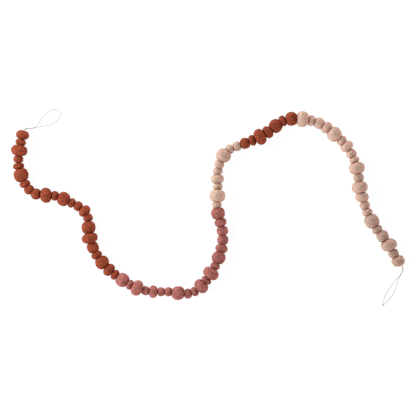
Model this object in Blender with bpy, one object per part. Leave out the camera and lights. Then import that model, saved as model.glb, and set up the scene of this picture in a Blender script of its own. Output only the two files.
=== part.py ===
"""Felt ball garland: eighty wool felt balls in rust, rose and cream, threaded on one cotton string.

The garland lies on the plane z = 0 in one long S. +X runs to the right of the S and +Y away from the viewer.
The string runs through a bore in every ball. At the left end it comes back on itself as a hanging loop,
tied beside the first ball. At the right end two strands leave the last ball and are tied at the loop's tip.
Sizes are in millimetres, and MM turns them into metres.
"""

import math
import random
from collections import namedtuple

import bmesh
import bpy
from mathutils import Matrix, Vector
from mathutils.geometry import interpolate_bezier

MM = 0.001

Kind = namedtuple("Kind", "width length")
Stretch = namedtuple("Stretch", "colour order way")
Finish = namedtuple("Finish", "colour roughness")
Ball = namedtuple("Ball", "number colour width start end before after")

# The kinds of ball: width is across the string, and length along it
KINDS = {
    "thin": Kind(24.0, 13.0),
    "disc": Kind(22.6, 15.0),
    "coin": Kind(25.2, 15.2),
    "berry": Kind(20.8, 17.6),
    "pea": Kind(22.9, 17.6),
    "bead": Kind(23.9, 19.0),
    "bap": Kind(28.6, 18.1),
    "bun": Kind(30.4, 19.5),
    "roll": Kind(30.6, 21.7),
    "nut": Kind(25.8, 21.8),
    "plum": Kind(27.1, 24.0),
    "cake": Kind(37.0, 22.1),
    "keg": Kind(35.2, 23.8),
    "loaf": Kind(38.0, 23.9),
    "egg": Kind(37.0, 26.0),
    "round": Kind(32.3, 26.0),
    "ball": Kind(31.8, 27.5),
    "globe": Kind(33.8, 29.4),
}

# Where the first ball's mouth lies, seen from above
MOUTH = (-424, 177)

# The garland in stretches, from its left end: the balls' colour, their kinds in threading order, and the
# points that the string passes on its way to the next stretch. A plus makes two neighbours one solid
STRETCHES = (
    Stretch(
        "rust",
        "bun+coin loaf pea+coin globe coin+bead nut",
        ((-434, 132), (-436, 96), (-422, 57), (-411, 40), (-397, 31), (-385, 29)),
    ),
    Stretch(
        "rust",
        "keg pea round disc+pea bun+pea",
        ((-353, 29), (-315, 12), (-285, -5), (-274, -22), (-275, -31)),
    ),
    Stretch("rust", "ball cake plum+coin ball bun+coin", ((-273, -66), (-244, -126), (-208, -158))),
    Stretch(
        "rose",
        "ball thin keg berry+bap berry+berry ball",
        ((-179, -177), (-146, -190), (-128, -193), (-92, -192), (-55, -198)),
    ),
    Stretch("rose", "pea+disc keg thin loaf disc round", ((-45, -198), (-30, -192), (7, -150), (29, -102))),
    Stretch("rose", "bap+nut nut+bap round", ((35, -64), (29, -33), (22, -13), (20, 0))),
    Stretch("cream", "disc egg disc+bun disc+pea", ((23, 40), (21, 75), (28, 109))),
    Stretch("cream", "globe disc+pea", ((32, 125), (52, 136), (75, 145))),
    Stretch(
        "rust",
        "nut+coin loaf bun ball coin round",
        ((119, 163), (137, 173), (154, 188), (190, 207), (204, 206)),
    ),
    Stretch(
        "cream",
        "egg coin+nut bap globe coin+bun bead+thin",
        ((238, 201), (273, 186), (288, 169), (307, 156), (339, 104)),
    ),
    Stretch("cream", "egg bead egg roll+bead coin", ((343, 91), (350, 38), (361, 6), (369, -17))),
    Stretch("cream", "globe coin+plum loaf bead+roll", ((389, -50), (417, -85), (427, -106), (444, -131))),
)

# The balls that sit askew on the string, by number from the left end: degrees anticlockwise from above
ASKEW = {
    7: -12, 8: -17, 21: -23, 31: 12, 46: 11, 48: 13, 50: 17, 51: 17,
    53: -15, 57: 14, 64: -18, 72: -26, 77: -20, 78: -11, 79: -18, 80: -15,
}  # fmt: skip

# The string's doubled tails, from the end ball's mouth to where the two strands part
LEFT_TAIL = ((-419, 182), (-409, 184), (-399, 186))
RIGHT_TAIL = ((449, -140), (448, -148), (443, -157))

# The left loop, round from where its strands part and back
LEFT_LOOP = (
    (-395, 191), (-390, 198), (-384, 207), (-376, 216), (-367, 223), (-356, 228), (-346, 225),
    (-340, 217), (-341, 210), (-347, 203), (-359, 195), (-374, 190), (-389, 188),
)  # fmt: skip

# The right loop's inner and outer strand, which meet in the knot at its tip
RIGHT_INNER = ((437, -162), (430, -171), (422, -182), (414, -194), (408, -206), (405, -217))
RIGHT_OUTER = ((439, -168), (435, -181), (430, -193), (426, -202), (419, -210), (411, -219))
RIGHT_TIP = (404, -225)

# The middle of the balls' outline on the route's own axes, which becomes the origin
MIDDLE = (0.2, 5.3)

PRESS = 1.16  # a ball's own length over the length that its neighbours leave it
FULLNESS = 2.2  # 2 is an ellipse, and more is squarer
FACET_SWELL = 1.015  # puts the facets astride the round surface
SETTLE = 0.6  # how far a ball's underside is pressed flat
GAP = 0.3  # between two pieces
BORE_WIDTH = 2.0
BORE_OVERRUN = 5.0  # how far the bore's cutter goes on past the end balls
SAG = 0.25  # how far the string sags between two joints when nothing holds it up
SAG_PASSES = 400
BIG_WIDTH = 30.0  # balls at least this wide get the finer facets
FINE_FACETS = (12, 8)  # round the string, and along it
COARSE_FACETS = (10, 6)

STRING_WIDTH = 1.2
STRAND_PITCH = 1.5  # between the middles of two strands that lie side by side
STRAND_START = 2.4  # from the last joint to where a second strand begins, clear of the end ball
STRAIGHT_OUT = 3.0  # the string leaves the mouth straight over this length
DROP_RUN = 26.0  # the string comes down from the mouth to the floor over this length
KNOT_WIDTH = 4.2
KNOT_LENGTH = 4.6
KNOT_HEIGHT = 2.2  # of the right knot's middle, which lies on the floor
STRING_HEIGHT = 0.7  # of the string's middle where it lies on the floor
STRING_SPACING = 3.5
ROUTE_SPACING = 2.0

FINISHES = {
    "rust": Finish((0.31, 0.072, 0.030), 0.95),
    "rose": Finish((0.36, 0.115, 0.100), 0.95),
    "cream": Finish((0.60, 0.400, 0.310), 0.95),
    "string": Finish((0.80, 0.78, 0.73), 0.85),
}


def clear_scene():
    for obj in list(bpy.data.objects):
        bpy.data.objects.remove(obj, do_unlink=True)


def material(name):
    finish = FINISHES[name]
    made = bpy.data.materials.get(name) or bpy.data.materials.new(name)
    made.use_nodes = True
    shader = made.node_tree.nodes["Principled BSDF"]
    shader.inputs["Base Color"].default_value = (*finish.colour, 1.0)
    shader.inputs["Roughness"].default_value = finish.roughness
    shader.inputs["Metallic"].default_value = 0.0
    return made


def collection(name):
    made = bpy.data.collections.new(name)
    bpy.context.scene.collection.children.link(made)
    return made


def smooth_line(points, spacing):
    """Points about spacing apart, on a smooth curve through all the given ones."""
    points = [Vector(point) for point in points]
    gaps = [(b - a).length for a, b in zip(points, points[1:])]
    runs = [(b - a) / gap for a, b, gap in zip(points, points[1:], gaps)]
    inner = [
        (runs[i] * gaps[i + 1] + runs[i + 1] * gaps[i]) / (gaps[i] + gaps[i + 1])
        for i in range(len(gaps) - 1)
    ]
    slopes = [runs[0], *inner, runs[-1]]
    line = []
    for i, gap in enumerate(gaps):
        first_handle = points[i] + slopes[i] * gap / 3
        last_handle = points[i + 1] - slopes[i + 1] * gap / 3
        count = max(2, round(gap / spacing) + 1)
        line += interpolate_bezier(points[i], first_handle, last_handle, points[i + 1], count)[:-1]
    return [*line, points[-1]]


def plan(points):
    """Points seen from above, measured from the garland's middle, in millimetres."""
    return [Vector(point) - Vector(MIDDLE) for point in points]


def points_at(line, lengths):
    """The points that lie at the given lengths along a line."""
    found = []
    travelled = 0.0
    i = 0
    step = (line[1] - line[0]).length
    for length in lengths:
        while length > travelled + step and i < len(line) - 2:
            travelled += step
            i += 1
            step = (line[i + 1] - line[i]).length
        found.append(line[i].lerp(line[i + 1], min(1.0, (length - travelled) / step)))
    return found


def string_heights(widths):
    """The string's height at each face between balls: it sags, and the wide balls hold it off the floor."""
    rests = [width / 2 - SETTLE for width in widths]
    heights = [max(rests)] * (len(widths) + 1)
    for _ in range(SAG_PASSES):
        heights[0] = heights[1] - SAG
        heights[-1] = heights[-2] - SAG
        for i in range(1, len(widths)):
            heights[i] = (heights[i - 1] + heights[i + 1]) / 2 - SAG
        for i, rest in enumerate(rests):
            lift = rest - (heights[i] + heights[i + 1]) / 2
            if lift > 0:
                heights[i] += lift
                heights[i + 1] += lift
    return heights


def route():
    """The string's run through the balls, seen from above, as one smooth line."""
    points = [MOUTH, *(point for stretch in STRETCHES for point in stretch.way)]
    return smooth_line(plan(points), ROUTE_SPACING)


def stretch_runs():
    """How far each stretch runs along the route."""
    line = route()
    marks = plan([MOUTH, *(stretch.way[-1] for stretch in STRETCHES)])
    passed = [0.0]
    for a, b in zip(line, line[1:]):
        passed.append(passed[-1] + (b - a).length)
    at = [passed[min(range(len(line)), key=lambda i: (line[i] - mark).length)] for mark in marks]
    return [b - a for a, b in zip(at, at[1:])]


def thread_balls():
    """The groups of balls, each with one or two, in their places along the string."""
    order = []
    ends = [0.0]
    for stretch, run in zip(STRETCHES, stretch_runs()):
        names = [group.split("+") for group in stretch.order.split()]
        order += [(stretch.colour, group) for group in names]
        lengths = [KINDS[name].length for group in names for name in group]
        for length in lengths:
            ends.append(ends[-1] + length * run / sum(lengths))
    widths = [KINDS[name].width for _, names in order for name in names]
    joints = [point.to_3d() for point in points_at(route(), ends)]
    for joint, height in zip(joints, string_heights(widths)):
        joint.z = height
    joints = [joint * MM for joint in joints]
    runs = [(b - a).normalized() for a, b in zip(joints, joints[1:])]
    seams = [runs[0], *((a + b).normalized() for a, b in zip(runs, runs[1:])), runs[-1]]
    groups = []
    number = 0
    for colour, names in order:
        group = []
        for _ in names:
            width = widths[number] * MM
            start, end = joints[number], joints[number + 1]
            group.append(Ball(number + 1, colour, width, start, end, seams[number], seams[number + 1]))
            number += 1
        groups.append(group)
    return groups, joints


def ball_matrix(ball):
    """Puts local Z along the string, or askew to it, and local X upwards, at the ball's middle."""
    askew = Matrix.Rotation(math.radians(ASKEW.get(ball.number, 0)), 3, "Z")
    along = askew @ (ball.end - ball.start).normalized()
    up = Vector((0, 0, 1))
    up = (up - along * up.dot(along)).normalized()
    side = along.cross(up)
    turn = Matrix((up, side, along)).transposed()
    return Matrix.Translation((ball.start + ball.end) / 2) @ turn.to_4x4()


def lumps(number):
    """A seeded function of the angle round the string and of the share along it, for an uneven ball."""
    dice = random.Random(number)
    oval, oval_at = dice.uniform(0.0, 0.035), dice.uniform(0, math.tau)
    lean, lean_at = dice.uniform(0.0, 0.035), dice.uniform(0, math.tau)
    taper = dice.uniform(-0.03, 0.03)

    def swell(angle, share):
        across = math.sqrt(max(0.0, 1 - share * share))
        return (
            1
            + oval * across * math.cos(2 * (angle - oval_at))
            + lean * share * across * math.cos(angle - lean_at)
            + taper * share
        )

    return swell


def press_flat(mesh, at, away):
    """Cuts off what lies past a plane, and closes the cut with one flat face."""
    geometry = [*mesh.verts, *mesh.edges, *mesh.faces]
    cut = bmesh.ops.bisect_plane(mesh, geom=geometry, plane_co=at, plane_no=away, clear_outer=True)
    rim = [item for item in cut["geom_cut"] if isinstance(item, bmesh.types.BMEdge)]
    if rim:
        bmesh.ops.edgeloop_fill(mesh, edges=rim)


def felt_ball(name, ball, home, pressed_before, pressed_after):
    """One squashed sphere with its axis on the string, flat where a neighbour or the floor presses on it."""
    rings = FINE_FACETS if ball.width >= BIG_WIDTH * MM else COARSE_FACETS
    own_length = (ball.end - ball.start).length * PRESS
    swell = lumps(ball.number)
    mesh = bmesh.new()
    bmesh.ops.create_uvsphere(mesh, u_segments=rings[0], v_segments=rings[1], radius=1.0)
    for vertex in mesh.verts:
        x, y, share = vertex.co
        fuller = (math.hypot(x, y) ** FULLNESS + abs(share) ** FULLNESS) ** (-1 / FULLNESS)
        size = fuller * FACET_SWELL * swell(math.atan2(y, x), share)
        vertex.co = (
            x * size * ball.width / 2,
            y * size * ball.width / 2,
            share * size * own_length / 2,
        )
    place = ball_matrix(ball)
    to_local = place.inverted()
    turn = to_local.to_3x3()
    half_gap = GAP * MM / 2
    if pressed_before:
        press_flat(mesh, to_local @ (ball.start + ball.before * half_gap), turn @ -ball.before)
    if pressed_after:
        press_flat(mesh, to_local @ (ball.end - ball.after * half_gap), turn @ ball.after)
    press_flat(mesh, to_local @ Vector((0, 0, 0)), turn @ Vector((0, 0, -1)))
    bmesh.ops.recalc_face_normals(mesh, faces=mesh.faces)
    data = bpy.data.meshes.new(name)
    mesh.to_mesh(data)
    mesh.free()
    data.shade_smooth()
    data.set_sharp_from_angle(angle=math.radians(50))
    data.materials.append(material(ball.colour))
    obj = bpy.data.objects.new(name, data)
    obj.matrix_world = place
    home.objects.link(obj)
    return obj


def as_helper(obj):
    obj.hide_render = True
    obj.display_type = "WIRE"
    return obj


def boolean(obj, operation, other):
    cut = obj.modifiers.new(f"{operation.lower()} {other.name}", "BOOLEAN")
    cut.operation = operation
    cut.solver = "EXACT"
    cut.object = other


def tube(name, line, width, home):
    """A closed round tube along a line, as a mesh that a Boolean can use."""
    curve = bpy.data.curves.new(name, "CURVE")
    curve.dimensions = "3D"
    curve.bevel_depth = width / 2
    curve.bevel_resolution = 2
    curve.use_fill_caps = True
    spline = curve.splines.new("POLY")
    spline.points.add(len(line) - 1)
    for point, place in zip(spline.points, line):
        point.co = (*place, 1.0)
    guide = bpy.data.objects.new(f"{name}_guide", curve)
    home.objects.link(guide)
    bpy.context.view_layer.update()
    graph = bpy.context.evaluated_depsgraph_get()
    data = bpy.data.meshes.new_from_object(guide.evaluated_get(graph))
    bpy.data.objects.remove(guide)
    mesh = bmesh.new()
    mesh.from_mesh(data)
    bmesh.ops.remove_doubles(mesh, verts=mesh.verts, dist=width / 1000)
    bmesh.ops.recalc_face_normals(mesh, faces=mesh.faces)
    mesh.to_mesh(data)
    mesh.free()
    data.name = name
    obj = bpy.data.objects.new(name, data)
    home.objects.link(obj)
    return obj


def lay_down(points, mouth, mouth_height):
    """Gives each point its height: level with the mouth at first, and on the floor past DROP_RUN."""
    laid = []
    travelled = 0.0
    last = mouth
    for point in points:
        travelled += (point - last).length
        last = point
        share = min(1.0, travelled / DROP_RUN)
        drop = share * share * (3 - 2 * share)
        laid.append(Vector((*point, mouth_height + (STRING_HEIGHT - mouth_height) * drop)))
    return laid


def beside(points, mouth, side):
    """The same line moved half a strand's pitch to one side, level with the floor."""
    line = [mouth, *points]
    moved = []
    for i in range(1, len(line)):
        along = (line[min(i + 1, len(line) - 1)] - line[i - 1]).normalized()
        moved.append(line[i] + Vector((-along.y, along.x)) * side * STRAND_PITCH / 2)
    return moved


def strand(tail, rest, joint, outward, side):
    """A strand from the ball's mouth along one side of the doubled tail, and then along the rest."""
    mouth = joint.to_2d() / MM
    height = joint.z / MM
    first = Vector((*(mouth + outward * STRAIGHT_OUT), height))
    flat = [*beside(plan(tail), mouth, side), *plan(rest)]
    return [first, *lay_down(flat, mouth, height)]


def second_strand(tail, rest, joint, outward, side):
    """A strand that ends beside the mouth, just clear of the ball, and doesn't go in."""
    points = strand(tail, rest, joint, outward, side)
    sideways = Vector((-outward.y, outward.x, 0)) * side * STRAND_PITCH
    start = joint / MM + Vector((*outward, 0)) * STRAND_START + sideways
    return [start, points[0] + sideways, *points[1:]]


def string_line(points):
    """A smooth line in metres through points in millimetres, never lower than the string lies."""
    line = smooth_line(points, STRING_SPACING)
    return [Vector((point.x, point.y, max(point.z, STRING_HEIGHT))) * MM for point in line]


def knot(name, at, along, home):
    """An egg-shaped lump round the strands, with its long side along them."""
    mesh = bmesh.new()
    bmesh.ops.create_uvsphere(mesh, u_segments=8, v_segments=6, radius=0.5)
    size = Matrix.Diagonal((KNOT_WIDTH * MM, KNOT_WIDTH * MM, KNOT_LENGTH * MM, 1.0))
    mesh.transform(along.to_track_quat("Z", "X").to_matrix().to_4x4() @ size)
    data = bpy.data.meshes.new(name)
    mesh.to_mesh(data)
    mesh.free()
    obj = bpy.data.objects.new(name, data)
    obj.location = at
    home.objects.link(obj)
    return as_helper(obj)


def cotton_string(joints, home, helpers):
    """The one string: the left loop, the run through every ball, and the right loop's two strands."""
    left_out = (joints[0] - joints[1]).to_2d().normalized()
    right_out = (joints[-1] - joints[-2]).to_2d().normalized()
    going = strand(LEFT_TAIL, LEFT_LOOP, joints[0], left_out, 1)
    coming = second_strand(LEFT_TAIL, (), joints[0], left_out, -1)
    inner = strand(RIGHT_TAIL, (*RIGHT_INNER, RIGHT_TIP), joints[-1], right_out, -1)
    outer = second_strand(RIGHT_TAIL, (*RIGHT_OUTER, RIGHT_TIP), joints[-1], right_out, 1)

    left_line = string_line([*going, *reversed(coming)])
    right_line = string_line(inner)
    obj = tube("string", [*reversed(left_line), *joints, *right_line], STRING_WIDTH * MM, home)
    obj.data.materials.append(material("string"))
    outer_strand = tube("outer_strand", string_line(outer), STRING_WIDTH * MM, helpers)
    boolean(obj, "UNION", as_helper(outer_strand))

    tie = (going[1] + coming[2]) / 2 * MM
    boolean(obj, "UNION", knot("left_knot", tie, going[2] - going[0], helpers))
    tip = Vector((*right_line[-1].to_2d(), KNOT_HEIGHT * MM))
    boolean(obj, "UNION", knot("right_knot", tip, right_line[-1] - right_line[-2], helpers))
    return obj


def bore_cutter(joints, helpers):
    """The string's run through the balls, wider all round, and longer at both ends."""
    first = joints[0] + (joints[0] - joints[1]).normalized() * BORE_OVERRUN * MM
    last = joints[-1] + (joints[-1] - joints[-2]).normalized() * BORE_OVERRUN * MM
    return as_helper(tube("bore", [first, *joints, last], BORE_WIDTH * MM, helpers))


def build_group(group, last_number, home, helpers, bore):
    """One solid of one ball, or of two neighbours that share it."""
    numbers = "_".join(f"{ball.number:02d}" for ball in group)
    name = f"{group[0].colour}_{'ball' if len(group) == 1 else 'balls'}_{numbers}"
    pieces = []
    for i, ball in enumerate(group):
        before = i == 0 and ball.number > 1
        after = i == len(group) - 1 and ball.number < last_number
        own_name = name if i == 0 else f"{name}_second"
        pieces.append(felt_ball(own_name, ball, home if i == 0 else helpers, before, after))
    for other in pieces[1:]:
        boolean(pieces[0], "UNION", as_helper(other))
    boolean(pieces[0], "DIFFERENCE", bore)
    return pieces[0]


def main():
    clear_scene()
    home = collection("felt_ball_garland")
    helpers = collection("cutters")
    groups, joints = thread_balls()
    bore = bore_cutter(joints, helpers)
    last_number = groups[-1][-1].number
    solids = [build_group(group, last_number, home, helpers, bore) for group in groups]
    solids.append(cotton_string(joints, home, helpers))
    garland = bpy.data.objects.new("garland", None)
    home.objects.link(garland)
    for obj in solids:
        obj.parent = garland


main()
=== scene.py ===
import math
import random

import bpy
import numpy as np
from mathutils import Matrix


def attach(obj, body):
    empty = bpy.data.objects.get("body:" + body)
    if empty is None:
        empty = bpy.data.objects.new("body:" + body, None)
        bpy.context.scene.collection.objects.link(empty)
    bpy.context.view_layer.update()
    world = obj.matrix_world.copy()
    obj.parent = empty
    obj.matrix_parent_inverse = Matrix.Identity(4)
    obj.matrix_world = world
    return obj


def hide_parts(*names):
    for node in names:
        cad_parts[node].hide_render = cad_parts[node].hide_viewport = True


# A felt ball garland: eighty wool felt balls in rust, rose and cream on one cotton string. It lies in one
# long S on a white table and is seen from straight above. Sizes are in millimetres where no note says
# otherwise.

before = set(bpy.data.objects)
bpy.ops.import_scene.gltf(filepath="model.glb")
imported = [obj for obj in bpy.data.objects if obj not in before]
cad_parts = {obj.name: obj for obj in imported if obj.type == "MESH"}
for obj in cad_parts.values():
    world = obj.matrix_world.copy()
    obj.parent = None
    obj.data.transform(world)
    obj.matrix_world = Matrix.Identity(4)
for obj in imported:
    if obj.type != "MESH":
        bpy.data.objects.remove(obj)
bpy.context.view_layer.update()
mm = 0.001
upwards = np.array([0.0, 0.0, 1.0])
print(f"frame loaded: {len(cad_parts)} solids")


# The camera looks straight down. across is how much of the table the picture shows at the height called
# level, and sight is how far the camera sees, in metres
cameraView = {"lens": 120.0, "across": 956.8, "middle": (-0.2, -5.3), "level": 16.0, "sight": 30.0}

cameraData = bpy.data.cameras.new("camera")
cameraData.lens = cameraView["lens"]
cameraData.clip_end = cameraView["sight"]
camera = bpy.data.objects.new("camera", cameraData)
cameraHeight = cameraView["level"] + cameraView["across"] * cameraView["lens"] / cameraData.sensor_width
camera.location = (cameraView["middle"][0] * mm, cameraView["middle"][1] * mm, cameraHeight * mm)
bpy.context.scene.collection.objects.link(camera)
bpy.context.scene.camera = camera
bpy.context.scene.view_settings.view_transform = "Standard"
print(f"camera set {cameraHeight / 1000:.2f} m above the table")


# The kinds of ball: width across the string, and length along it
ballKinds = {
    "thin": {"width": 24.0, "length": 13.0},
    "disc": {"width": 22.6, "length": 15.0},
    "coin": {"width": 25.2, "length": 15.2},
    "berry": {"width": 20.8, "length": 17.6},
    "pea": {"width": 22.9, "length": 17.6},
    "bead": {"width": 23.9, "length": 19.0},
    "bap": {"width": 28.6, "length": 18.1},
    "bun": {"width": 30.4, "length": 19.5},
    "roll": {"width": 30.6, "length": 21.7},
    "nut": {"width": 25.8, "length": 21.8},
    "plum": {"width": 27.1, "length": 24.0},
    "cake": {"width": 37.0, "length": 22.1},
    "keg": {"width": 35.2, "length": 23.8},
    "loaf": {"width": 38.0, "length": 23.9},
    "egg": {"width": 37.0, "length": 26.0},
    "round": {"width": 32.3, "length": 26.0},
    "ball": {"width": 31.8, "length": 27.5},
    "globe": {"width": 33.8, "length": 29.4},
}

# How the balls are threaded, from the left end. way is what the string passes on its way to the next
# stretch, tone is how light this dye lot is, and balls joined by a plus are one solid in the plain model
garland = {
    "mouth": (-424, 177),
    "middle": (0.2, 5.3),
    "stretches": (
        {"colour": "rust", "tone": 1.01, "order": "bun+coin loaf pea+coin globe coin+bead nut",
         "way": ((-434, 132), (-436, 96), (-422, 57), (-411, 40), (-397, 31), (-385, 29))},
        {"colour": "rust", "tone": 1.02, "order": "keg pea round disc+pea bun+pea",
         "way": ((-353, 29), (-315, 12), (-285, -5), (-274, -22), (-275, -31))},
        {"colour": "rust", "tone": 0.99, "order": "ball cake plum+coin ball bun+coin",
         "way": ((-273, -66), (-244, -126), (-208, -158))},
        {"colour": "rose", "tone": 1.03, "order": "ball thin keg berry+bap berry+berry ball",
         "way": ((-179, -177), (-146, -190), (-128, -193), (-92, -192), (-55, -198))},
        {"colour": "rose", "tone": 0.91, "order": "pea+disc keg thin loaf disc round",
         "way": ((-45, -198), (-30, -192), (7, -150), (29, -102))},
        {"colour": "rose", "tone": 0.97, "order": "bap+nut nut+bap round",
         "way": ((35, -64), (29, -33), (22, -13), (20, 0))},
        {"colour": "cream", "tone": 1.00, "order": "disc egg disc+bun disc+pea",
         "way": ((23, 40), (21, 75), (28, 109))},
        {"colour": "cream", "tone": 0.96, "order": "globe disc+pea",
         "way": ((32, 125), (52, 136), (75, 145))},
        {"colour": "rust", "tone": 0.94, "order": "nut+coin loaf bun ball coin round",
         "way": ((119, 163), (137, 173), (154, 188), (190, 207), (204, 206))},
        {"colour": "cream", "tone": 1.08, "order": "egg coin+nut bap globe coin+bun bead+thin",
         "way": ((238, 201), (273, 186), (288, 169), (307, 156), (339, 104))},
        {"colour": "cream", "tone": 0.95, "order": "egg bead egg roll+bead coin",
         "way": ((343, 91), (350, 38), (361, 6), (369, -17))},
        {"colour": "cream", "tone": 0.82, "order": "globe coin+plum loaf bead+roll",
         "way": ((389, -50), (417, -85), (427, -106), (444, -131))},
    ),
    # balls that sit askew on the string, by number from the left end: degrees anticlockwise from above
    "askew": {7: -12, 8: -17, 21: -23, 31: 12, 46: 11, 48: 13, 50: 17, 51: 17,
              53: -15, 57: 14, 64: -18, 72: -26, 77: -20, 78: -11, 79: -18, 80: -15},
    "settle": 0.6,  # how far a ball's underside is pressed flat
    "sag": 0.25,  # how far each joint hangs below the mean of its neighbours when nothing holds it up
    "sagPasses": 400,  # how often the heights are evened out
    "spacing": 2.0,  # between the points of the line that the balls follow
}


def onTable(points):
    # Points seen from above, less the garland's middle
    return np.array(points, float) - garland["middle"]


def smoothLine(points, spacing):
    # Between two points the line is a cubic Bezier curve with its handles a third of the gap long. At a
    # point they follow the mean of the two runs there, where the shorter run counts for more
    points = np.array(points, float)
    steps = np.diff(points, axis=0)
    gaps = np.linalg.norm(steps, axis=1)[:, None]
    runs = steps / gaps
    inner = (runs[:-1] * gaps[1:] + runs[1:] * gaps[:-1]) / (gaps[:-1] + gaps[1:])
    slopes = np.vstack([runs[:1], inner, runs[-1:]])
    firstHandles = points[:-1] + slopes[:-1] * gaps / 3
    lastHandles = points[1:] - slopes[1:] * gaps / 3
    parts = []
    for i, gap in enumerate(gaps[:, 0]):
        t = np.linspace(0, 1, max(2, round(gap / spacing) + 1))[:-1, None]
        parts.append(
            (1 - t) ** 3 * points[i] + 3 * (1 - t) ** 2 * t * firstHandles[i]
            + 3 * (1 - t) * t ** 2 * lastHandles[i] + t ** 3 * points[i + 1]
        )
    return np.vstack([*parts, points[-1:]])


def lengthsAlong(line):
    # How far along the line each of its points lies
    return np.concatenate([[0.0], np.cumsum(np.linalg.norm(np.diff(line, axis=0), axis=1))])


def unit(vectors):
    # Each vector over its own length
    return vectors / np.linalg.norm(vectors, axis=-1, keepdims=True)


def stringHeights(widths):
    # Each joint sinks a little below the mean of its neighbours, and a ball that would sink into the
    # table lifts the joints at both its ends
    rests = [width / 2 - garland["settle"] for width in widths]
    heights = [max(rests)] * (len(widths) + 1)
    for _ in range(garland["sagPasses"]):
        heights[0] = heights[1] - garland["sag"]
        heights[-1] = heights[-2] - garland["sag"]
        for i in range(1, len(widths)):
            heights[i] = (heights[i - 1] + heights[i + 1]) / 2 - garland["sag"]
        for i, rest in enumerate(rests):
            lift = max(0.0, rest - (heights[i] + heights[i + 1]) / 2)
            heights[i] += lift
            heights[i + 1] += lift
    return heights


def threadBalls():
    # Each ball takes its kind's length of the string, times what makes its stretch fill its own run of the
    # line. Each joint's plane stands square to the mean of the two ways that meet there
    stretches = garland["stretches"]
    passed = [garland["mouth"], *(point for stretch in stretches for point in stretch["way"])]
    line = smoothLine(onTable(passed), garland["spacing"])
    along = lengthsAlong(line)
    marks = onTable([garland["mouth"], *(stretch["way"][-1] for stretch in stretches)])
    at = [along[np.argmin(np.linalg.norm(line - mark, axis=1))] for mark in marks]
    balls, ends = [], [0.0]
    for stretch, run in zip(stretches, np.diff(at)):
        kinds = [kind for group in stretch["order"].split() for kind in group.split("+")]
        total = sum(ballKinds[kind]["length"] for kind in kinds)
        ends += list(ends[-1] + np.cumsum([ballKinds[kind]["length"] for kind in kinds]) * run / total)
        for group in stretch["order"].split():
            numbers = [len(balls) + 1 + i for i in range(group.count("+") + 1)]
            node = f"{stretch['colour']}_{'balls' if len(numbers) > 1 else 'ball'}_" + "_".join(
                f"{number:02d}" for number in numbers
            )
            for number, kind in zip(numbers, group.split("+")):
                balls.append({
                    "number": number, "node": node, "width": ballKinds[kind]["width"],
                    "colour": stretch["colour"], "tone": stretch["tone"],
                })
    joints = np.zeros((len(ends), 3))
    joints[:, 0] = np.interp(ends, along, line[:, 0])
    joints[:, 1] = np.interp(ends, along, line[:, 1])
    joints[:, 2] = stringHeights([ball["width"] for ball in balls])
    runs = unit(np.diff(joints, axis=0))
    seams = np.vstack([runs[:1], unit(runs[:-1] + runs[1:]), runs[-1:]])
    for i, ball in enumerate(balls):
        ball.update(start=joints[i], end=joints[i + 1], before=seams[i], after=seams[i + 1])
    return balls, joints


balls, joints = threadBalls()
print(f"{len(balls)} balls threaded on {lengthsAlong(joints)[-1] / 1000:.2f} m of string")


def closedSurface(rings, firstPole, lastPole):
    # Rings of points carried along a path and closed by one point at each end. Going round a ring and
    # then along the path is anticlockwise from outside. Returns the points, the four-sided faces and the
    # three-sided ones
    count, sides = rings.shape[:2]
    points = np.vstack([rings.reshape(-1, 3), firstPole, lastPole])
    index = np.arange(count * sides).reshape(count, sides)
    onward = np.roll(index, -1, axis=1)
    quads = np.stack([index[:-1], onward[:-1], onward[1:], index[1:]], axis=-1).reshape(-1, 4)
    first = np.stack([np.full(sides, count * sides), onward[0], index[0]], axis=-1)
    last = np.stack([np.full(sides, count * sides + 1), index[-1], onward[-1]], axis=-1)
    return points, quads, np.vstack([first, last])


def joinParts(parts):
    # Several (points, quads, triangles) as one
    starts = np.cumsum([0] + [len(part[0]) for part in parts])
    return (
        np.vstack([part[0] for part in parts]),
        np.vstack([part[1] + start for part, start in zip(parts, starts)]),
        np.vstack([part[2] + start for part, start in zip(parts, starts)]),
    )


def makePiece(name, part, finish, nodes, values=None):
    # A mesh object in metres from points in millimetres. values holds the named attributes, each with one
    # value for each point
    points, quads, triangles = part
    mesh = bpy.data.meshes.new(name)
    corners = np.concatenate([quads.ravel(), triangles.ravel()]).astype(np.int32)
    starts = np.concatenate([np.arange(len(quads)) * 4, len(quads) * 4 + np.arange(len(triangles)) * 3])
    mesh.vertices.add(len(points))
    mesh.vertices.foreach_set("co", (points * mm).astype(np.float32).ravel())
    mesh.loops.add(len(corners))
    mesh.loops.foreach_set("vertex_index", corners)
    mesh.polygons.add(len(starts))
    mesh.polygons.foreach_set("loop_start", starts.astype(np.int32))
    mesh.update(calc_edges=True)
    mesh.shade_smooth()
    for key, value in (values or {}).items():
        attribute = mesh.attributes.new(key, "FLOAT", "POINT")
        attribute.data.foreach_set("value", np.asarray(value, np.float32))
    mesh.materials.append(finish)
    piece = bpy.data.objects.new(name, mesh)
    bpy.context.scene.collection.objects.link(piece)
    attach(piece, "root")
    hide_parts(*nodes)
    return piece


def addNode(tree, kind, x, y, settings=None, **inputs):
    # A node with its settings and its input values
    node = tree.nodes.new(kind)
    node.location = (x, y)
    for key, value in (settings or {}).items():
        setattr(node, key, value)
    for key, value in inputs.items():
        node.inputs[key.replace("_", " ")].default_value = value
    return node


def mathNode(tree, operation, x, y, *values):
    # Each value is a socket or a plain number
    node = addNode(tree, "ShaderNodeMath", x, y, {"operation": operation})
    for socket, value in zip(node.inputs, values):
        if isinstance(value, bpy.types.NodeSocket):
            tree.links.new(value, socket)
        else:
            socket.default_value = value
    return node.outputs[0]


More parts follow.
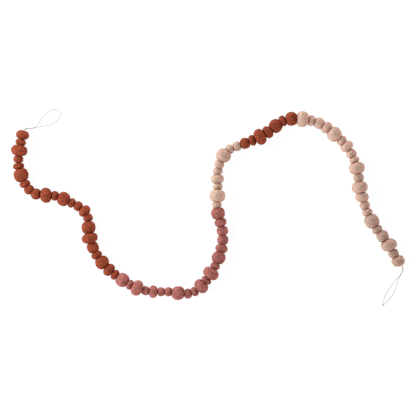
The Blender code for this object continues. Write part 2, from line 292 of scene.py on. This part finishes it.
def mixNode(tree, blend, factor, a, b, x, y):
    # A colour mix: the factor's share of b and the rest of a. Each of the three is a socket or a plain
    # value, and they go into inputs 0, 6 and 7, the ones that the node uses for colours
    node = addNode(tree, "ShaderNodeMix", x, y, {"data_type": "RGBA", "blend_type": blend})
    for socket, value in zip((node.inputs[0], node.inputs[6], node.inputs[7]), (factor, a, b)):
        if isinstance(value, bpy.types.NodeSocket):
            tree.links.new(value, socket)
        else:
            socket.default_value = value if np.isscalar(value) else (*value, 1.0)
    return node.outputs[2]


def newGroup(name, inputs, outputs):
    # An empty shader node group. inputs has each socket's kind and value, and outputs is a list of names
    tree = bpy.data.node_groups.new(name, "ShaderNodeTree")
    for key, (kind, value) in inputs.items():
        socket = tree.interface.new_socket(key, in_out="INPUT", socket_type=kind)
        if value is not None:
            socket.default_value = value
    for key in outputs:
        tree.interface.new_socket(key, in_out="OUTPUT", socket_type="NodeSocketFloat")
    return tree, addNode(tree, "NodeGroupInput", -1400, 0), addNode(tree, "NodeGroupOutput", 900, 0)


# The felt's pattern. turns are the three ways its hairs lie, drawnOut is the pattern's scale along a hair
# over that across it, the drift is the slow noise that bends the hairs, and the clouds are the blotches
fibrePattern = {
    "turns": ((0.3, 0.2, 0.0), (1.4, 0.5, 0.9), (0.4, 1.3, 2.2)),
    "drawnOut": 0.14,
    "hairDetail": 1.5,
    "hairRoughness": 0.6,
    "hairSlope": 7.0,  # how steeply a hair falls off on both sides of its crest
    "hairHeight": 0.5,  # over the height of a blotch
    "driftScale": 120.0,
    "driftDetail": 2.0,
    "cloudDetail": 3.0,
    "cloudRoughness": 0.55,
    "cloudRange": (0.36, 0.62),  # the clouds' values that become a blotch of nought and of one
}


def swirledFibres():
    # Fine hairs that lie in three directions and swirl: in each direction a noise is drawn out long and
    # thin, and the crests where it crosses its middle value are the hairs. Blotches are broad clouds of
    # such a noise
    tree, given, made = newGroup(
        "swirledFibres",
        {
            "Place": ("NodeSocketVector", None),
            "Fibre Scale": ("NodeSocketFloat", 1100.0),
            "Blotch Scale": ("NodeSocketFloat", 190.0),
            "Swirl": ("NodeSocketFloat", 0.005),
        },
        ["Fibres", "Blotches", "Height"],
    )
    links = tree.links
    drift = addNode(tree, "ShaderNodeTexNoise", -1200, -200, Scale=fibrePattern["driftScale"],
                    Detail=fibrePattern["driftDetail"])
    links.new(given.outputs["Place"], drift.inputs["Vector"])
    spread = addNode(tree, "ShaderNodeVectorMath", -1000, -200, {"operation": "SUBTRACT"})
    links.new(drift.outputs["Color"], spread.inputs[0])
    spread.inputs[1].default_value = (0.5, 0.5, 0.5)
    bent = addNode(tree, "ShaderNodeVectorMath", -820, -200, {"operation": "SCALE"})
    links.new(spread.outputs[0], bent.inputs[0])
    links.new(given.outputs["Swirl"], bent.inputs["Scale"])
    place = addNode(tree, "ShaderNodeVectorMath", -640, -100, {"operation": "ADD"})
    links.new(given.outputs["Place"], place.inputs[0])
    links.new(bent.outputs[0], place.inputs[1])

    hairs = None
    for i, turn in enumerate(fibrePattern["turns"]):
        row = 300 - 260 * i
        drawn = addNode(tree, "ShaderNodeMapping", -440, row, Rotation=turn,
                        Scale=(1.0, 1.0, fibrePattern["drawnOut"]))
        links.new(place.outputs[0], drawn.inputs["Vector"])
        noise = addNode(tree, "ShaderNodeTexNoise", -260, row, Detail=fibrePattern["hairDetail"],
                        Roughness=fibrePattern["hairRoughness"])
        links.new(drawn.outputs[0], noise.inputs["Vector"])
        links.new(given.outputs["Fibre Scale"], noise.inputs["Scale"])
        centred = mathNode(tree, "SUBTRACT", -80, row, noise.outputs[0], 0.5)
        offMiddle = mathNode(tree, "ABSOLUTE", 60, row, centred)
        slope = mathNode(tree, "MULTIPLY_ADD", 200, row, offMiddle, -fibrePattern["hairSlope"], 1.0)
        crest = mathNode(tree, "MAXIMUM", 340, row, slope, 0.0)
        hairs = crest if hairs is None else mathNode(tree, "MAXIMUM", 480, 200 - 200 * i, hairs, crest)

    clouds = addNode(tree, "ShaderNodeTexNoise", -260, -560, Detail=fibrePattern["cloudDetail"],
                     Roughness=fibrePattern["cloudRoughness"])
    links.new(place.outputs[0], clouds.inputs["Vector"])
    links.new(given.outputs["Blotch Scale"], clouds.inputs["Scale"])
    blotches = addNode(tree, "ShaderNodeMapRange", 0, -560)
    blotches.inputs["From Min"].default_value = fibrePattern["cloudRange"][0]
    blotches.inputs["From Max"].default_value = fibrePattern["cloudRange"][1]
    links.new(clouds.outputs[0], blotches.inputs["Value"])
    height = mathNode(tree, "MULTIPLY_ADD", 640, -200, hairs, fibrePattern["hairHeight"], blotches.outputs[0])

    links.new(hairs, made.inputs["Fibres"])
    links.new(blotches.outputs[0], made.inputs["Blotches"])
    links.new(height, made.inputs["Height"])
    return tree


fibreGroup = swirledFibres()


# Wool in three dyes: as it is, where hairs catch the light as a painted highlight, where it is dense, the
# painted shade deep in the creases at the joints, and the tint of its soft sheen
woolDyes = {
    "rust": {"wool": (0.405, 0.048, 0.026), "light": (0.53, 0.175, 0.086), "dark": (0.125, 0.006, 0.004),
             "creaseShade": (0.220, 0.008, 0.002), "sheen": (1.00, 0.28, 0.08)},
    "rose": {"wool": (0.635, 0.141, 0.122), "light": (0.58, 0.330, 0.275), "dark": (0.220, 0.020, 0.018),
             "creaseShade": (0.260, 0.018, 0.016), "sheen": (1.00, 0.45, 0.35)},
    "cream": {"wool": (0.785, 0.480, 0.372), "light": (0.70, 0.560, 0.460), "dark": (0.710, 0.360, 0.275),
              "creaseShade": (0.460, 0.130, 0.085), "sheen": (0.95, 0.72, 0.58)},
}
woolGrain = {
    "fibreScale": 1100.0,  # noise cells to the metre
    "blotchScale": 190.0,
    "swirl": 0.005,  # how far the hairs are bent aside, in metres
    "bump": 0.55,
    "bumpDepth": 1.2 * mm,
    "hairs": 0.40,  # how much of the light wool, a painted highlight, a hair shows
    "creaseShaded": 0.65,  # how much of the crease colour, a painted shade, shows at a joint
    "roughness": 0.95,
    "sheen": 0.3,
    "sheenRoughness": 0.4,
}


def woolFinish(name, dye):
    # The blotches mix plain wool with dense wool, the hairs add light wool as a painted highlight, a crease
    # adds its colour as painted shade at the joints, loose fuzz is all light wool as a painted highlight, and
    # the tone is what the brightness is then multiplied by
    finish = bpy.data.materials.new(name)
    finish.use_nodes = True
    tree = finish.node_tree
    links = tree.links
    shader = tree.nodes["Principled BSDF"]
    shader.location = (900, 0)
    place = addNode(tree, "ShaderNodeTexCoord", -900, 0)
    grain = addNode(tree, "ShaderNodeGroup", -650, 0, {"node_tree": fibreGroup})
    grain.inputs["Fibre Scale"].default_value = woolGrain["fibreScale"]
    grain.inputs["Blotch Scale"].default_value = woolGrain["blotchScale"]
    grain.inputs["Swirl"].default_value = woolGrain["swirl"]
    links.new(place.outputs["Object"], grain.inputs["Place"])
    blotched = mixNode(tree, "MIX", grain.outputs["Blotches"], dye["dark"], dye["wool"], -220, 200)
    # each hair's crest mixes in light wool as a painted highlight
    hairHighlightShare = mathNode(tree, "MULTIPLY", -220, -60, grain.outputs["Fibres"], woolGrain["hairs"])
    hairHighlighted = mixNode(tree, "MIX", hairHighlightShare, blotched, dye["light"], 0, 150)
    # painted shade at the joints: the point attribute mixes the wool toward the dye's dark crease colour
    creaseShade = addNode(tree, "ShaderNodeAttribute", -220, -260, {"attribute_name": "creaseShade"})
    creaseShadeShare = mathNode(tree, "MULTIPLY", 0, -200, creaseShade.outputs["Fac"], woolGrain["creaseShaded"])
    creaseShaded = mixNode(tree, "MIX", creaseShadeShare, hairHighlighted, dye["creaseShade"], 220, 100)
    # the loose hairs are all light wool, a painted highlight
    fuzz = addNode(tree, "ShaderNodeAttribute", 0, -420, {"attribute_name": "fuzz"})
    fuzzHighlighted = mixNode(tree, "MIX", fuzz.outputs["Fac"], creaseShaded, dye["light"], 430, 80)
    tone = addNode(tree, "ShaderNodeAttribute", 220, -420, {"attribute_name": "tone"})
    toned = addNode(tree, "ShaderNodeHueSaturation", 650, 60)
    links.new(tone.outputs["Fac"], toned.inputs["Value"])
    links.new(fuzzHighlighted, toned.inputs["Color"])
    links.new(toned.outputs[0], shader.inputs["Base Color"])
    bump = addNode(tree, "ShaderNodeBump", 650, -260, Strength=woolGrain["bump"],
                   Distance=woolGrain["bumpDepth"])
    links.new(grain.outputs["Height"], bump.inputs["Height"])
    links.new(bump.outputs[0], shader.inputs["Normal"])
    shader.inputs["Roughness"].default_value = woolGrain["roughness"]
    shader.inputs["Specular IOR Level"].default_value = 0.0
    shader.inputs["Sheen Weight"].default_value = woolGrain["sheen"]
    shader.inputs["Sheen Tint"].default_value = (*dye["sheen"], 1.0)
    shader.inputs["Sheen Roughness"].default_value = woolGrain["sheenRoughness"]
    return finish


woolFinishes = {name: woolFinish(f"{name}Wool", dye) for name, dye in woolDyes.items()}

# The cotton string: three plies twisted together, tied at each loop
cottonString = {
    "width": 1.2,
    "plies": 3,
    "plyWidth": 0.68,
    "twistLength": 4.2,
    "sides": 6,  # of a ply
    "coreSides": 8,  # of the plain string inside the balls
    "spacing": 0.4,  # between the rings of a ply
    "straightOut": 3.0,  # the string leaves the mouth straight over this length
    "secondStart": 2.4,  # from the last joint to where a second strand begins
    "pitch": 1.5,  # between the middles of two strands that lie side by side
    "dropRun": 26.0,  # it comes down from the mouth to the table over this length
    "lyingHeight": 0.7,  # of its middle, where it lies on the table
    "lineSpacing": 3.5,  # between the points of its first smooth line
    "colour": (0.56, 0.55, 0.52),
    "shade": (0.38, 0.37, 0.34),
}
leftLoop = {
    "tail": ((-419, 182), (-409, 184), (-399, 186)),
    "loop": ((-395, 191), (-390, 198), (-384, 207), (-376, 216), (-367, 223), (-356, 228), (-346, 225),
             (-340, 217), (-341, 210), (-347, 203), (-359, 195), (-374, 190), (-389, 188)),
}
rightLoop = {
    "tail": ((449, -140), (448, -148), (443, -157)),
    "inner": ((437, -162), (430, -171), (422, -182), (414, -194), (408, -206), (405, -217)),
    "outer": ((439, -168), (435, -181), (430, -193), (426, -202), (419, -210), (411, -219)),
    "tip": (404, -225),
}
# A knot's yarn follows a ring round the strands and winds about it. depth is how much longer than wide
# the winding is, and height is that of the tip knot's middle over the table
knots = {"ring": 1.05, "tube": 0.55, "rounds": 2, "windings": 3, "depth": 1.3, "points": 130, "height": 2.2}

# The cotton's pattern. lit is the least share of the lit colour, and litByHairs is what a hair adds to it
cottonGrain = {
    "fibreScale": 4000.0,
    "blotchScale": 500.0,
    "swirl": 0.001,
    "lit": 0.45,
    "litByHairs": 0.5,
    "bump": 0.4,
    "bumpDepth": 0.1 * mm,
    "roughness": 0.9,
    "specular": 0.2,
    "sheen": 0.15,
}


def cottonFinish():
    # Off-white cotton, greyer between its hairs: the least lit share plus what each hair adds mixes its
    # colour with its shade
    finish = bpy.data.materials.new("cottonYarn")
    finish.use_nodes = True
    tree = finish.node_tree
    links = tree.links
    shader = tree.nodes["Principled BSDF"]
    place = addNode(tree, "ShaderNodeTexCoord", -900, 0)
    grain = addNode(tree, "ShaderNodeGroup", -650, 0, {"node_tree": fibreGroup})
    grain.inputs["Fibre Scale"].default_value = cottonGrain["fibreScale"]
    grain.inputs["Blotch Scale"].default_value = cottonGrain["blotchScale"]
    grain.inputs["Swirl"].default_value = cottonGrain["swirl"]
    links.new(place.outputs["Object"], grain.inputs["Place"])
    share = mathNode(tree, "MULTIPLY_ADD", -400, 0, grain.outputs["Fibres"], cottonGrain["litByHairs"],
                     cottonGrain["lit"])
    colour = mixNode(tree, "MIX", share, cottonString["shade"], cottonString["colour"], -200, 0)
    links.new(colour, shader.inputs["Base Color"])
    bump = addNode(tree, "ShaderNodeBump", -200, -300, Strength=cottonGrain["bump"],
                   Distance=cottonGrain["bumpDepth"])
    links.new(grain.outputs["Height"], bump.inputs["Height"])
    links.new(bump.outputs[0], shader.inputs["Normal"])
    shader.inputs["Roughness"].default_value = cottonGrain["roughness"]
    shader.inputs["Specular IOR Level"].default_value = cottonGrain["specular"]
    shader.inputs["Sheen Weight"].default_value = cottonGrain["sheen"]
    return finish


cotton = cottonFinish()


def waysAlong(line, reference):
    # For each point of a line: the way along it, the way square to that and to the reference, and the
    # third way, which is square to both
    along = unit(np.gradient(line, axis=0))
    side = unit(np.cross(reference, along))
    return along, side, np.cross(along, side)


def tubeAlong(line, radius, sides, reference):
    # A round tube: a circle of the given radius carried along the line, with a point closing each end
    _, side, up = waysAlong(line, reference)
    angle = np.linspace(0, 2 * math.pi, sides, endpoint=False)[None, :, None]
    rings = line[:, None] + radius * (np.cos(angle) * side[:, None] + np.sin(angle) * up[:, None])
    return closedSurface(rings, line[0], line[-1])


def twistedYarn(line, reference=upwards):
    # Each ply is a tube whose middle goes round the line once in every twist length
    _, side, up = waysAlong(line, reference)
    turned = lengthsAlong(line)[:, None] * 2 * math.pi / cottonString["twistLength"]
    reach = (cottonString["width"] - cottonString["plyWidth"]) / 2
    parts = []
    for ply in range(cottonString["plies"]):
        angle = turned + 2 * math.pi * ply / cottonString["plies"]
        middle = line + reach * (np.cos(angle) * side + np.sin(angle) * up)
        parts.append(tubeAlong(middle, cottonString["plyWidth"] / 2, cottonString["sides"], reference))
    return joinParts(parts)


def layDown(points, mouth, mouthHeight):
    # Each point's height eases from the mouth's to the table's over the drop run: three times the share
    # squared less twice the share cubed
    travelled = lengthsAlong(np.vstack([mouth, points]))[1:]
    share = np.minimum(1.0, travelled / cottonString["dropRun"])
    drop = share * share * (3 - 2 * share)
    return np.column_stack([points, mouthHeight + (cottonString["lyingHeight"] - mouthHeight) * drop])


def strandPoints(tail, rest, joint, outward, side):
    # From the mouth along one side of the doubled tail, half a pitch off its middle, then along the rest
    mouth = joint[:2]
    line = np.vstack([mouth, onTable(tail)])
    along = unit(np.vstack([line[2:] - line[:-2], line[-1:] - line[-2:-1]]))
    moved = line[1:] + np.column_stack([-along[:, 1], along[:, 0]]) * side * cottonString["pitch"] / 2
    flat = np.vstack([moved, onTable(rest)]) if len(rest) else moved
    first = [*(mouth + outward * cottonString["straightOut"]), joint[2]]
    return np.vstack([first, layDown(flat, mouth, joint[2])])


def secondStrandPoints(tail, rest, joint, outward, side):
    # A strand that begins beside the mouth, just clear of the ball
    points = strandPoints(tail, rest, joint, outward, side)
    sideways = np.array([-outward[1], outward[0], 0.0]) * side * cottonString["pitch"]
    start = joint + np.array([*outward, 0.0]) * cottonString["secondStart"] + sideways
    return np.vstack([start, points[0] + sideways, points[1:]])


def stringLine(points):
    # The smooth line through the points, never lower than the string lies, at an even fine spacing
    line = smoothLine(points, cottonString["lineSpacing"])
    line = smoothLine(line, cottonString["spacing"])
    line[:, 2] = np.maximum(line[:, 2], cottonString["lyingHeight"])
    return line


def knotAt(name, middle, axis):
    # A tight knot in the same yarn: the line goes twice round the strands while it winds three times
    # about the ring that it follows
    axis = unit(np.array(axis, float))
    side = unit(np.cross(upwards, axis))
    up = np.cross(axis, side)
    t = np.linspace(0, 2 * math.pi, knots["points"])[:, None]
    rounds, windings = knots["rounds"] * t, knots["windings"] * t
    reach = knots["ring"] + knots["tube"] * np.cos(windings)
    line = middle + reach * (np.cos(rounds) * side + np.sin(rounds) * up)
    line = line + knots["depth"] * knots["tube"] * np.sin(windings) * axis
    return makePiece(name, twistedYarn(line, axis), cotton, ["string"])


def makeStrings():
    # The left loop is one strand that goes out and comes back beside itself. The right one is two strands
    # that meet in the tip knot. A plain core joins them through the balls
    leftEnd = joints[0], unit((joints[0] - joints[1])[:2])
    rightEnd = joints[-1], unit((joints[-1] - joints[-2])[:2])
    going = strandPoints(leftLoop["tail"], leftLoop["loop"], *leftEnd, 1)
    coming = secondStrandPoints(leftLoop["tail"], (), *leftEnd, -1)
    inner = strandPoints(rightLoop["tail"], (*rightLoop["inner"], rightLoop["tip"]), *rightEnd, -1)
    outer = secondStrandPoints(rightLoop["tail"], (*rightLoop["outer"], rightLoop["tip"]), *rightEnd, 1)

    leftLine = np.vstack([joints[:1], stringLine(np.vstack([going, coming[::-1]]))])
    innerLine = np.vstack([joints[-1:], stringLine(inner)])
    outerLine = stringLine(outer)
    leftKnot = knotAt("leftKnot", (going[1] + coming[2]) / 2, going[2] - going[0])
    tip = np.array([*innerLine[-1, :2], knots["height"]])
    tipKnot = knotAt("tipKnot", tip, innerLine[-1] - innerLine[-2])
    cords = (
        ("leftLoop", leftLine, joints[0], "object", [leftKnot]),
        ("rightInnerStrand", innerLine, joints[-1], "knot", [tipKnot]),
        ("rightOuterStrand", outerLine, joints[-1], "knot", []),
    )
    for name, line, leaves, farEnd, withPieces in cords:
        piece = makePiece(name, twistedYarn(line), cotton, ["string"])
    core = tubeAlong(joints, cottonString["width"] / 2, cottonString["coreSides"], upwards)
    makePiece("coreString", core, cotton, ["string"])


makeStrings()


# A felt ball. press is its own length over what its neighbours leave it, and a fullness above 2 is
# squarer than an ellipse. oval, lean and taper are the most by which its round is off, as shares of its
# size. lumps are the waves that make the wool uneven: how many, the slowest, the fastest and how high
feltBalls = {
    "press": 1.16,
    "fullness": 2.2,
    "sink": 0.25,  # how far each pressed face goes past the joint into its neighbour's wool
    "soft": 0.55,  # how gently a pressed face turns into the round
    "floorSoft": 0.25,  # the same where the table presses the underside
    "rings": 35,
    "sides": 72,
    "oval": 0.035,
    "lean": 0.035,
    "taper": 0.03,
    "lumps": ((6, 4.0, 8.0, 0.10), (10, 10.0, 18.0, 0.12), (14, 22.0, 34.0, 0.075)),
    "creaseShadeReach": 1.6,  # how far from a joint its painted crease shade reaches
    "toneSpread": 0.035,  # how much lighter or darker than its stretch a ball may be
    "lumpSeed": 1000,
    "toneSeed": 9000,
}

# Where the string comes out of the first and the last ball it pulls a dimple. reach is how far from the
# joint the wool feels it, and shade is how fast the painted shade of its crease fades away from the string
dimple = {"depth": 1.6, "width": 1.8, "reach": 8.0, "shade": 0.8}

# The hairs that stand off a ball. lift is how far they lean out and bend how far they turn halfway, each
# over their reach along the felt. The last three values keep their roots off the joints and off the
# table, and all their points above it
looseFuzz = {
    "perSquareCm": 9.0,
    "shortest": 0.5,
    "longest": 1.6,
    "width": 0.055,
    "middleWidth": 0.8,  # over the width at the root
    "lift": (0.2, 1.1),
    "bend": (0.3, 1.1),
    "sunk": 0.12,  # how deep the root sits in the felt
    "seed": 5000,
    "offJoint": 1.0,
    "offTable": 0.8,
    "lowest": 0.05,
}
hairPoints = 7  # three at the root, three halfway and the tip


def unevenness(number, angle, share):
    # One plus three slow waves: an oval round the string, a lean to one side, and a taper along it
    dice = random.Random(number)
    oval, ovalAt = dice.uniform(0.0, feltBalls["oval"]), dice.uniform(0, math.tau)
    lean, leanAt = dice.uniform(0.0, feltBalls["lean"]), dice.uniform(0, math.tau)
    taper = dice.uniform(-feltBalls["taper"], feltBalls["taper"])
    level = np.sqrt(np.maximum(0.0, 1 - share * share))
    return (1 + oval * level * np.cos(2 * (angle - ovalAt)) + lean * share * level * np.cos(angle - leanAt)
            + taper * share)


def woolLumps(number, ways):
    # A sum of sine waves in random directions over the directions from the ball's middle, in millimetres
    dice = np.random.default_rng(feltBalls["lumpSeed"] + number)
    total = np.zeros(ways.shape[:-1])
    for count, slowest, fastest, height in feltBalls["lumps"]:
        waves = unit(dice.normal(size=(count, 3))) * dice.uniform(slowest, fastest, (count, 1))
        phases = dice.uniform(0, 2 * math.pi, count)
        total += height * math.sqrt(2 / count) * np.sin(ways @ waves.T + phases).sum(axis=-1)
    return total


def softLimit(value, softness):
    # The softness times the logarithm of one plus e to the value over the softness: nearly the value itself
    # above nought, nearly nought below, and a smooth turn between
    return softness * np.logaddexp(0.0, value / softness)


def ballSurface(ball, isFirst, isLast):
    # A body of revolution about the string, over the angle round it and the latitude along it: a
    # direction is drawn out until the sum of its two parts, each to the power of the fullness, is one.
    # Planes at both joints and the table press it flat. Returns the grid of points and how far from a
    # joint each one lies
    latitude = np.linspace(-math.pi / 2, math.pi / 2, feltBalls["rings"] + 2)[:, None]
    angle = np.linspace(0, 2 * math.pi, feltBalls["sides"], endpoint=False)[None, :]
    share = np.sin(latitude) + 0 * angle
    level = np.cos(latitude) + 0 * angle
    ways = np.stack([level * np.cos(angle), level * np.sin(angle), share], axis=-1)
    ways[[0, -1]] = [[[0, 0, -1]], [[0, 0, 1]]]
    power = feltBalls["fullness"]
    fuller = (np.hypot(ways[..., 0], ways[..., 1]) ** power + np.abs(ways[..., 2]) ** power) ** (-1 / power)
    size = fuller * unevenness(ball["number"], np.arctan2(ways[..., 1], ways[..., 0]), ways[..., 2])
    ownLength = np.linalg.norm(ball["end"] - ball["start"]) * feltBalls["press"]
    local = ways * size[..., None] * [ball["width"] / 2, ball["width"] / 2, ownLength / 2]
    local += ways * woolLumps(ball["number"], ways)[..., None]

    turn = math.radians(garland["askew"].get(ball["number"], 0))
    x, y, z = unit(ball["end"] - ball["start"])
    along = np.array([x * math.cos(turn) - y * math.sin(turn), x * math.sin(turn) + y * math.cos(turn), z])
    up = unit(upwards - along * along[2])
    points = (ball["start"] + ball["end"]) / 2 + local @ np.array([up, np.cross(along, up), along])

    nearest = np.full(share.shape, np.inf)
    ends = ((isFirst, ball["start"], ball["before"]), (isLast, ball["end"], -ball["after"]))
    for isOuter, at, inwards in ends:
        away = (points - at) @ inwards
        if isOuter:
            # the dimple's depth falls off as e to minus the square of how far off the string a point lies
            offAxis = np.linalg.norm(points - at - away[..., None] * inwards, axis=-1)
            felt = away < dimple["reach"]
            depths = dimple["depth"] * np.exp(-(offAxis / dimple["width"]) ** 2) * felt
            points += depths[..., None] * inwards
            # round the string's exit the crease's painted shade fades with the distance off the string
            nearest = np.where(felt, np.minimum(nearest, offAxis * dimple["shade"]), nearest)
            continue
        pressed = softLimit(away + feltBalls["sink"], feltBalls["soft"]) - feltBalls["sink"]
        points += (pressed - away)[..., None] * inwards
        nearest = np.minimum(nearest, np.maximum(pressed, 0.0))
    points[..., 2] = softLimit(points[..., 2], feltBalls["floorSoft"])
    return points, nearest


def looseHairs(ball, grid, nearest):
    # Curved hairs that stand off the felt: a three-sided root, a three-sided middle and a pointed tip.
    # The roots are spread evenly over the area of the grid's cells, away from the pressed faces
    dice = np.random.default_rng(looseFuzz["seed"] + ball["number"])
    onward = np.roll(grid, -1, axis=1)
    a, b, c, d = grid[:-1], onward[:-1], onward[1:], grid[1:]
    out = np.cross(c - a, d - b)
    area = np.linalg.norm(out, axis=-1) / 2
    isOpen = (nearest[:-1] > looseFuzz["offJoint"]) & (a[..., 2] > looseFuzz["offTable"])
    weight = (area * isOpen).ravel()
    count = int(looseFuzz["perSquareCm"] * weight.sum() / 100)  # weight is in square millimetres
    cell = dice.choice(len(weight), count, p=weight / weight.sum())
    u, v = dice.random((2, count, 1))
    a, b, c, d, out = (part.reshape(-1, 3)[cell] for part in (a, b, c, d, out))
    out = unit(out)
    root = (a * (1 - u) + b * u) * (1 - v) + (d * (1 - u) + c * u) * v - out * looseFuzz["sunk"]
    flatWays = unit(np.cross(out[None], dice.normal(size=(2, count, 3))))
    way = unit(flatWays[0] + out * dice.uniform(*looseFuzz["lift"], (count, 1)))
    bentWay = unit(way + flatWays[1] * dice.uniform(*looseFuzz["bend"], (count, 1)))
    long = dice.uniform(looseFuzz["shortest"], looseFuzz["longest"], (count, 1))
    middle = root + way * long * 0.5
    tip = middle + bentWay * long * 0.5
    side = unit(np.cross(way, out))
    other = np.cross(way, side)
    angle = np.arange(3)[None, :, None] * 2 * math.pi / 3
    star = np.cos(angle) * side[:, None] + np.sin(angle) * other[:, None]
    half = looseFuzz["width"] / 2
    thinner = star * half * looseFuzz["middleWidth"]
    points = np.concatenate([root[:, None] + star * half, middle[:, None] + thinner, tip[:, None]], axis=1)
    points[..., 2] = np.maximum(points[..., 2], looseFuzz["lowest"])
    first = (np.arange(count) * hairPoints)[:, None]
    quads = [[0, 1, 4, 3], [1, 2, 5, 4], [2, 0, 3, 5]]
    triangles = [[2, 1, 0], [3, 4, 6], [4, 5, 6], [5, 3, 6]]
    return (
        points.reshape(-1, 3),
        np.concatenate([first + quad for quad in quads]),
        np.concatenate([first + triangle for triangle in triangles]),
    )


def makeBall(ball, isFirst, isLast):
    # One ball with its loose hairs. A point's crease shade, the painted shade at the joints, is e to minus
    # its distance from the joint over the reach, fuzz is one on the hairs and nought on the felt, and tone is
    # the stretch's own give or take the ball's
    grid, nearest = ballSurface(ball, isFirst, isLast)
    body = closedSurface(grid[1:-1], grid[:1, 0], grid[-1:, 0])
    hairs = looseHairs(ball, grid, nearest)
    nearest = np.concatenate([nearest[1:-1].ravel(), nearest[:1, 0], nearest[-1:, 0]])
    fuzzPoints = len(hairs[0])
    dice = np.random.default_rng(feltBalls["toneSeed"] + ball["number"])
    tone = ball["tone"] + dice.uniform(-1, 1) * feltBalls["toneSpread"]
    values = {
        # painted shade at the joints, fading with the distance from them
        "creaseShade": np.concatenate([np.exp(-nearest / feltBalls["creaseShadeReach"]), np.zeros(fuzzPoints)]),
        "fuzz": np.concatenate([np.zeros(len(nearest)), np.ones(fuzzPoints)]),
        "tone": np.full(len(nearest) + fuzzPoints, tone),
    }
    name = f"{ball['colour']}Ball{ball['number']:02d}"
    makePiece(name, joinParts([body, hairs]), woolFinishes[ball["colour"]],
              [ball["node"]], values)
    return fuzzPoints // hairPoints


hairsMade = sum(makeBall(ball, i == 0, i == len(balls) - 1) for i, ball in enumerate(balls))
print(f"{len(balls)} felt balls made with {hairsMade} loose hairs")


# A white table with one large soft lamp to the left and a plain pale sky that is brighter low down, as
# between the white walls of a light tent. The table glows plain white and throws no light of its own on
# the wool: the balls' undersides get the sky's strength below the horizon instead. Sizes and places are
# in metres
studio = {
    "tableSize": 80.0,
    "tableLevel": -0.3 * mm,
    "tableColour": (0.13, 0.13, 0.13),
    "tableGlow": 0.95,
    "tableRoughness": 0.9,
    "tableSpecular": 0.1,
    "skyTop": 0.0,
    "skyLow": 6.2,  # what the sky gains from top to horizon
    "skyBelow": 0.3,
    "skyPower": 4.0,  # how close to the horizon the gain keeps
    "skyColour": (1.00, 0.94, 0.93),
    "lampPlace": (-1.70, 0.50, 1.20),
    "lampSize": 1.5,
    "lampPower": 36.0,
    "lampColour": (0.82, 1.04, 1.06),
}


def makeStudio():
    # The sky's strength is that at the top plus its gain times a power of one less the direction's height.
    # Below the horizon it is one plain value
    mesh = bpy.data.meshes.new("table")
    half = studio["tableSize"] / 2
    corners = ((-half, -half), (half, -half), (half, half), (-half, half))
    mesh.from_pydata([(x, y, studio["tableLevel"]) for x, y in corners], [], [(0, 1, 2, 3)])
    finish = bpy.data.materials.new("whiteTable")
    finish.use_nodes = True
    shader = finish.node_tree.nodes["Principled BSDF"]
    shader.inputs["Base Color"].default_value = (*studio["tableColour"], 1.0)
    shader.inputs["Roughness"].default_value = studio["tableRoughness"]
    shader.inputs["Specular IOR Level"].default_value = studio["tableSpecular"]
    shader.inputs["Emission Color"].default_value = (1.0, 1.0, 1.0, 1.0)
    shader.inputs["Emission Strength"].default_value = studio["tableGlow"]
    mesh.materials.append(finish)
    table = bpy.data.objects.new("table", mesh)
    bpy.context.scene.collection.objects.link(table)
    table.visible_diffuse = False

    sky = bpy.data.worlds.new("paleSky")
    sky.use_nodes = True
    tree = sky.node_tree
    direction = addNode(tree, "ShaderNodeTexCoord", -900, 0)
    parts = addNode(tree, "ShaderNodeSeparateXYZ", -700, 0)
    tree.links.new(direction.outputs["Generated"], parts.inputs[0])
    fromTop = mathNode(tree, "SUBTRACT", -500, 0, 1.0, parts.outputs["Z"])
    low = mathNode(tree, "POWER", -350, 0, fromTop, studio["skyPower"])
    gained = mathNode(tree, "MULTIPLY_ADD", -200, 0, low, studio["skyLow"],
                      studio["skyTop"] - studio["skyBelow"])
    isAbove = mathNode(tree, "GREATER_THAN", -350, -200, parts.outputs["Z"], 0.0)
    light = mathNode(tree, "MULTIPLY_ADD", -50, 0, isAbove, gained, studio["skyBelow"])
    tree.links.new(light, tree.nodes["Background"].inputs["Strength"])
    tree.nodes["Background"].inputs["Color"].default_value = (*studio["skyColour"], 1.0)
    bpy.context.scene.world = sky

    lampData = bpy.data.lights.new("softLamp", "AREA")
    lampData.shape = "DISK"
    lampData.size = studio["lampSize"]
    lampData.energy = studio["lampPower"]
    lampData.color = studio["lampColour"]
    lamp = bpy.data.objects.new("softLamp", lampData)
    x, y, z = studio["lampPlace"]
    lamp.location = (x, y, z)
    lamp.rotation_euler = (0.0, math.atan2(math.hypot(x, y), z), math.atan2(y, x))
    bpy.context.scene.collection.objects.link(lamp)


makeStudio()
print("table and light set")
